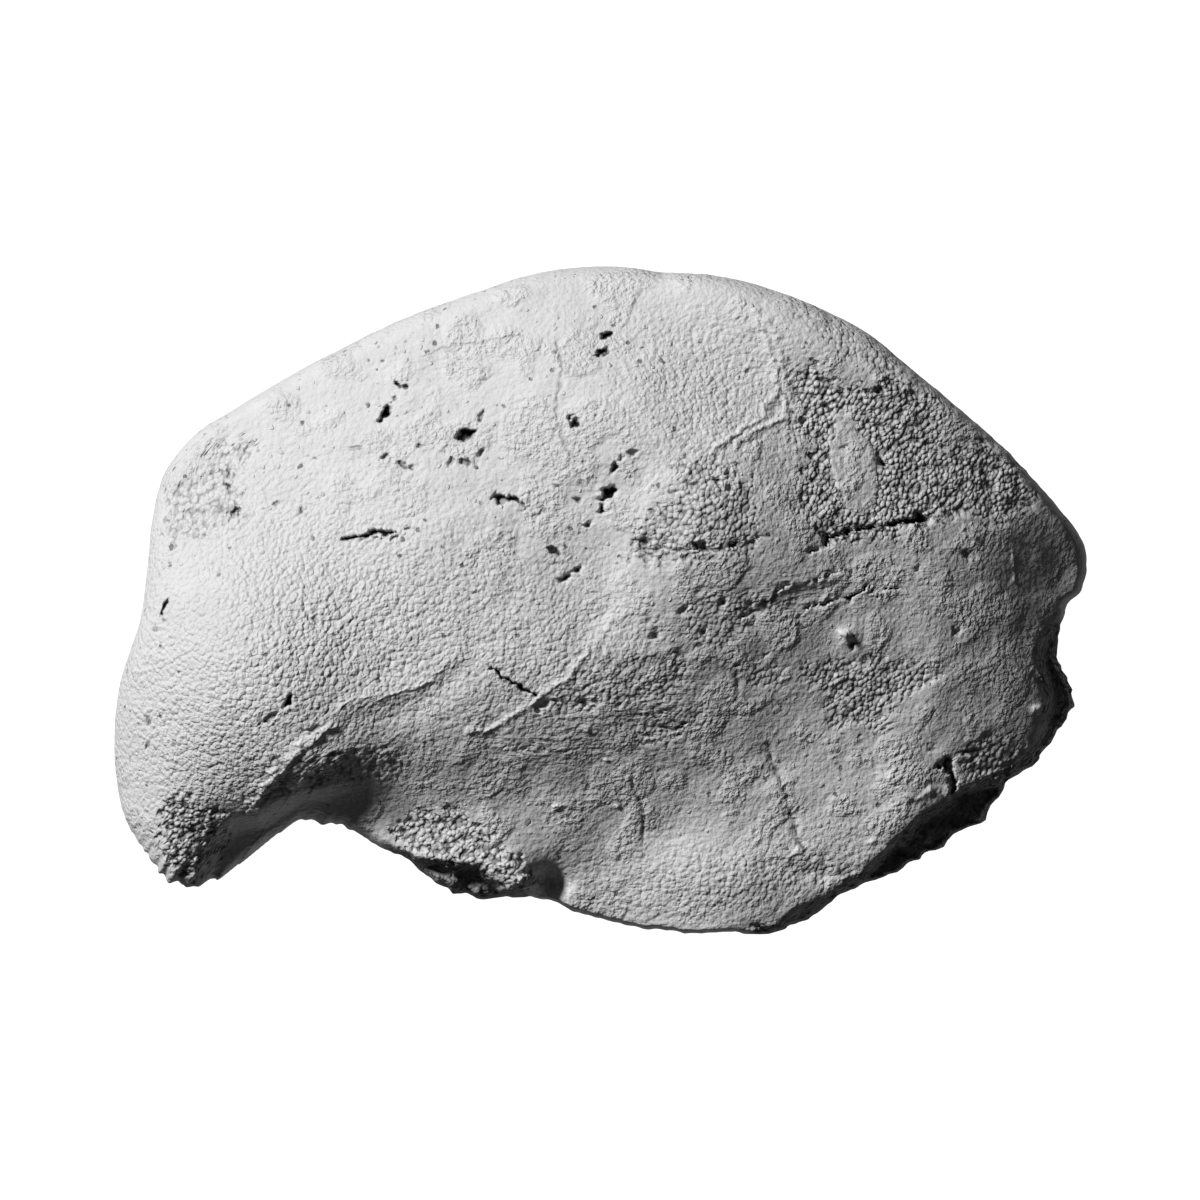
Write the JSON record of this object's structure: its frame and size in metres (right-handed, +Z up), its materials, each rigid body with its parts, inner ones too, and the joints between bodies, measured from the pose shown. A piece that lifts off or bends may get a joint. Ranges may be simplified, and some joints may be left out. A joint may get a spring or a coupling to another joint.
{
  "type": "fossil gastropod",
  "caption": "Whitened fossil gastropod: the stone filling of a low cap-like shell with a crest, a hooked side lobe and a flared lower rim, lying on its hidden side.",
  "frame": {"origin": "on the surface that the stone rests on, under the middle of its outline", "axes": "+Z up, through the convex side that the picture shows; +X along its length, away from the hooked lobe; +Y towards the brow, the upper edge in the picture"},
  "size_m": [0.033, 0.0226, 0.0142],
  "materials": {
    "stone": "matt, fine-grained, whitened"
  },
  "bodies": {
    "root": {"fossil": "stone"}
  },
  "joints": []
}
